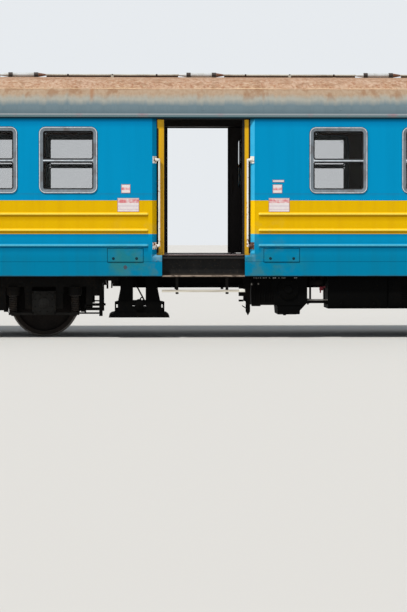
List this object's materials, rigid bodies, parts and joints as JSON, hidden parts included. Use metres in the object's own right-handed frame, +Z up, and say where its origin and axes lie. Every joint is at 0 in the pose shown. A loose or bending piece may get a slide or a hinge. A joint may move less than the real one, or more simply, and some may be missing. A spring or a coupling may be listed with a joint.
{
  "type": "railway passenger coach",
  "caption": "Passenger coach of a suburban train on two four-wheel bogies, with sliding side doors, footboards, a hollow saloon and gangway ends.",
  "frame": {"origin": "middle of the coach at the lowest point of the wheel flanges, 28 mm below the rail head", "axes": "+X along the coach, +Y across it, away from the side in the picture, +Z up"},
  "size_m": [21.57, 2.88, 3.8483],
  "materials": {
    "body_paint": "blue gloss enamel with a yellow band, weathered",
    "roof_paint": "grey paint, rusted and dusty towards the crown",
    "door_paint": "yellow enamel",
    "end_paint": "blue enamel",
    "window_metal": "bare aluminium section",
    "window_glass": "clear glass",
    "underframe_paint": "black paint under brake dust",
    "running_gear": "dusty casting",
    "wheel_steel": "forged steel, bright on the tread",
    "spring_steel": "painted spring steel",
    "handrail_paint": "white enamel, chipped",
    "step_metal": "worn checker plate",
    "step_board": "weathered board with a metal nosing",
    "vent_metal": "white painted sheet with dark clamps",
    "seat_vinyl": "brown vinyl over foam",
    "interior_panel": "cream laminate",
    "floor_covering": "brown rubber sheet",
    "interior_metal": "brushed tube",
    "bellows": "folded black rubber",
    "coupler_steel": "greasy forging"
  },
  "bodies": {
    "coach": {"side_wall_near": "body_paint", "side_wall_far": "body_paint", "access_flaps": "body_paint", "roof_crown": "roof_paint", "roof_sides": "roof_paint", "ceiling": "interior_panel", "door_gear_covers": "interior_panel", "vestibule_screens": "interior_panel", "floor": "floor_covering", "steps": "step_metal", "footboards": "step_board", "handrails": "handrail_paint", "window_frames": "window_metal", "window_glass": "window_glass", "end_wall_1": "end_paint", "end_wall_2": "end_paint", "gangways": "bellows", "buffers": "coupler_steel", "couplers": "coupler_steel", "seats": "seat_vinyl", "luggage_racks": "interior_metal", "grab_poles": "interior_metal", "ventilators": "vent_metal", "roof_conduit": "vent_metal", "sole_bars": "underframe_paint", "cross_members": "underframe_paint", "compressor_cradle": "underframe_paint", "machine_block": "underframe_paint", "equipment_case": "underframe_paint", "hanging_strut": "underframe_paint", "underfloor_pipes": "underframe_paint", "air_reservoirs": "underframe_paint", "battery_box": "underframe_paint", "brake_rods": "underframe_paint"},
    "bogie_1": {"bogie_frame_1": "running_gear", "axleboxes_1": "running_gear", "brake_gear_1": "running_gear", "bogie_springs_1": "spring_steel"},
    "wheelset_1": {"wheels_1": "wheel_steel", "axle_1": "wheel_steel"},
    "wheelset_2": {"wheels_2": "wheel_steel", "axle_2": "wheel_steel"},
    "bogie_2": {"bogie_frame_2": "running_gear", "axleboxes_2": "running_gear", "brake_gear_2": "running_gear", "bogie_springs_2": "spring_steel"},
    "wheelset_3": {"wheels_3": "wheel_steel", "axle_3": "wheel_steel"},
    "wheelset_4": {"wheels_4": "wheel_steel", "axle_4": "wheel_steel"},
    "leaf_near_1_left": {"door_near_1_left": "door_paint"},
    "leaf_near_1_right": {"door_near_1_right": "door_paint"},
    "leaf_near_2_left": {"door_near_2_left": "door_paint"},
    "leaf_near_2_right": {"door_near_2_right": "door_paint"},
    "leaf_far_1_left": {"door_far_1_left": "door_paint"},
    "leaf_far_1_right": {"door_far_1_right": "door_paint"},
    "leaf_far_2_left": {"door_far_2_left": "door_paint"},
    "leaf_far_2_right": {"door_far_2_right": "door_paint"},
    "end_leaf_1": {"end_door_1": "end_paint"},
    "end_leaf_2": {"end_door_2": "end_paint"}
  },
  "joints": [
    {"name": "bogie_1_yaw", "type": "hinge", "parent": "coach", "child": "bogie_1", "pos_m": [-7.48, 0, 0.928], "axis": [0, 0, 1], "range_deg": [-4, 4]},
    {"name": "wheelset_1_spin", "type": "hinge", "parent": "bogie_1", "child": "wheelset_1", "pos_m": [-8.78, 0, 0.498], "axis": [0, 1, 0], "continuous": true},
    {"name": "wheelset_2_spin", "type": "hinge", "parent": "bogie_1", "child": "wheelset_2", "pos_m": [-6.18, 0, 0.498], "axis": [0, 1, 0], "continuous": true},
    {"name": "bogie_2_yaw", "type": "hinge", "parent": "coach", "child": "bogie_2", "pos_m": [7.48, 0, 0.928], "axis": [0, 0, 1], "range_deg": [-4, 4]},
    {"name": "wheelset_3_spin", "type": "hinge", "parent": "bogie_2", "child": "wheelset_3", "pos_m": [6.18, 0, 0.498], "axis": [0, 1, 0], "continuous": true},
    {"name": "wheelset_4_spin", "type": "hinge", "parent": "bogie_2", "child": "wheelset_4", "pos_m": [8.78, 0, 0.498], "axis": [0, 1, 0], "continuous": true},
    {"name": "door_near_1_left_slide", "type": "slide", "parent": "coach", "child": "leaf_near_1_left", "axis": [-1, 0, 0], "range_m": [-0.553, 0.064]},
    {"name": "door_near_1_right_slide", "type": "slide", "parent": "coach", "child": "leaf_near_1_right", "axis": [1, 0, 0], "range_m": [-0.553, 0.064]},
    {"name": "door_near_2_left_slide", "type": "slide", "parent": "coach", "child": "leaf_near_2_left", "axis": [-1, 0, 0], "range_m": [0, 0.617]},
    {"name": "door_near_2_right_slide", "type": "slide", "parent": "coach", "child": "leaf_near_2_right", "axis": [1, 0, 0], "range_m": [0, 0.617]},
    {"name": "door_far_1_left_slide", "type": "slide", "parent": "coach", "child": "leaf_far_1_left", "axis": [-1, 0, 0], "range_m": [-0.463, 0.154]},
    {"name": "door_far_1_right_slide", "type": "slide", "parent": "coach", "child": "leaf_far_1_right", "axis": [1, 0, 0], "range_m": [-0.463, 0.154]},
    {"name": "door_far_2_left_slide", "type": "slide", "parent": "coach", "child": "leaf_far_2_left", "axis": [-1, 0, 0], "range_m": [0, 0.617]},
    {"name": "door_far_2_right_slide", "type": "slide", "parent": "coach", "child": "leaf_far_2_right", "axis": [1, 0, 0], "range_m": [0, 0.617]},
    {"name": "end_door_1_hinge", "type": "hinge", "parent": "coach", "child": "end_leaf_1", "pos_m": [-10.505, 0.4, 2.135], "axis": [0, 0, 1], "range_deg": [0, 90]},
    {"name": "end_door_2_hinge", "type": "hinge", "parent": "coach", "child": "end_leaf_2", "pos_m": [10.505, -0.4, 2.135], "axis": [0, 0, 1], "range_deg": [0, 90]}
  ],
  "couplings": [
    {"joint": "door_near_1_right_slide", "follows": "door_near_1_left_slide", "ratio": 1},
    {"joint": "door_near_2_right_slide", "follows": "door_near_2_left_slide", "ratio": 1},
    {"joint": "door_far_1_right_slide", "follows": "door_far_1_left_slide", "ratio": 1},
    {"joint": "door_far_2_right_slide", "follows": "door_far_2_left_slide", "ratio": 1}
  ]
}
